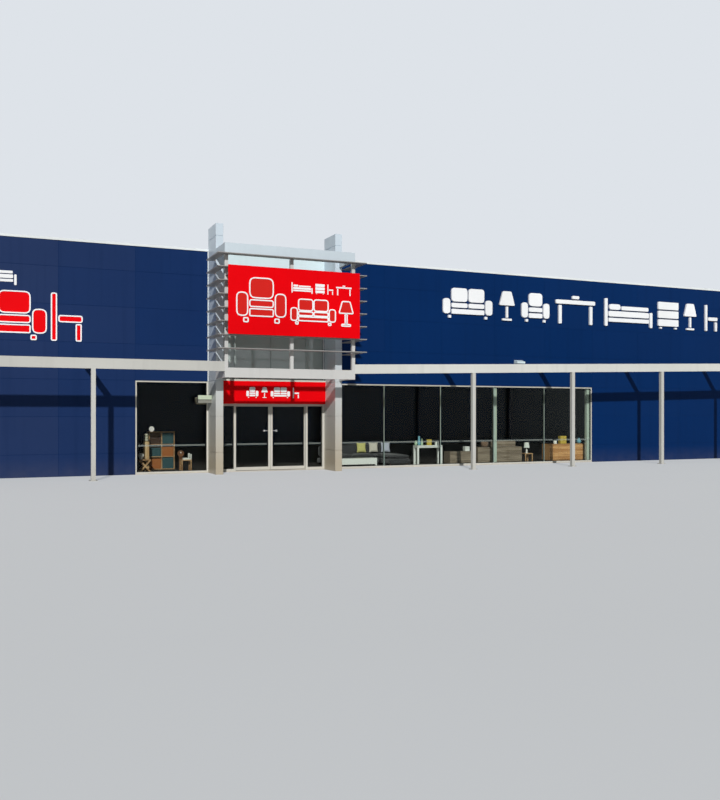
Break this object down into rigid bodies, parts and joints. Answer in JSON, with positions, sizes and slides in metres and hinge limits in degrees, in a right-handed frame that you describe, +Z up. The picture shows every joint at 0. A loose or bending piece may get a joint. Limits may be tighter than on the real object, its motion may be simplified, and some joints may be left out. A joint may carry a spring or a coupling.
{
  "type": "single-storey furniture store",
  "caption": "Long blue panel-clad store with shop windows, a glazed entrance tower with louvres and a blank red sign board, sliding doors and an open canopy frame.",
  "frame": {"origin": "middle of the bounding box, at ground level", "axes": "+X along the shop front to the right, +Y from the front to the back, +Z up"},
  "size_m": [36.38, 22.47, 7.58],
  "materials": {
    "navy_panel": "satin painted wall panels with fine joints",
    "white_trim": "white powder coat",
    "silver_cladding": "satin composite cladding",
    "cream_steel": "off-white painted steel",
    "red_panel": "gloss red sign panel",
    "store_glass": "grey-green tinted float glass",
    "slab_concrete": "smooth concrete",
    "roof_metal": "ribbed pre-painted roof sheet",
    "inner_steel": "grey primed steel",
    "door_metal": "satin anodised",
    "oak_wood": "oiled oak",
    "grey_wood": "washed grey-brown veneer",
    "white_lacquer": "white lacquer",
    "dark_fabric": "charcoal weave",
    "pale_fabric": "pale woven cotton",
    "white_ceramic": "glazed white"
  },
  "bodies": {
    "building": {"floor_slab": "slab_concrete", "left_lower_front_wall": "navy_panel", "right_lower_front_wall": "navy_panel", "left_upper_front_wall": "navy_panel", "right_upper_front_wall": "navy_panel", "door_piers": "navy_panel", "door_lintel": "white_trim", "tower_fascia": "white_trim", "left_end_wall": "navy_panel", "right_end_wall": "navy_panel", "back_wall": "navy_panel", "front_coping": "white_trim", "back_coping": "white_trim", "end_copings": "white_trim", "roof_deck": "roof_metal", "roof_rafters": "inner_steel", "steel_columns": "inner_steel", "left_window_frame": "white_trim", "left_window_glass": "store_glass", "right_window_frame": "white_trim", "right_window_glass": "store_glass", "left_pylon": "silver_cladding", "right_pylon": "silver_cladding", "tower_window_frame": "white_trim", "tower_window_glass": "store_glass", "header_band": "red_panel", "header_trim": "white_trim", "entrance_screen": "white_trim", "sidelight_glass": "store_glass", "door_track": "door_metal", "door_operator": "door_metal", "portal_lower_frame": "cream_steel", "portal_hood": "cream_steel", "portal_posts": "cream_steel", "portal_louvres": "silver_cladding", "portal_brackets": "inner_steel", "sign_board": "red_panel", "left_canopy_beam": "cream_steel", "right_canopy_beam": "cream_steel", "canopy_posts": "cream_steel", "canopy_outriggers": "cream_steel", "wall_light": "white_trim", "box_sign": "white_trim", "bookcase": "oak_wood", "small_tables": "oak_wood", "table_lamp": "white_ceramic", "coffee_table": "white_lacquer", "sofa": "dark_fabric", "sofa_cushions": "pale_fabric", "console_table": "white_lacquer", "grey_chests": "grey_wood", "oak_sideboard": "oak_wood"},
    "left_door_leaf": {"left_leaf_frame": "white_trim", "left_leaf_glass": "store_glass", "left_leaf_handles": "door_metal"},
    "right_door_leaf": {"right_leaf_frame": "white_trim", "right_leaf_glass": "store_glass", "right_leaf_handles": "door_metal"}
  },
  "joints": [
    {"name": "left_door_slide", "type": "slide", "parent": "building", "child": "left_door_leaf", "axis": [-1, 0, 0], "range_m": [0, 1.13]},
    {"name": "right_door_slide", "type": "slide", "parent": "building", "child": "right_door_leaf", "axis": [1, 0, 0], "range_m": [0, 1.13]}
  ],
  "couplings": [
    {"joint": "right_door_slide", "follows": "left_door_slide", "ratio": 1}
  ]
}
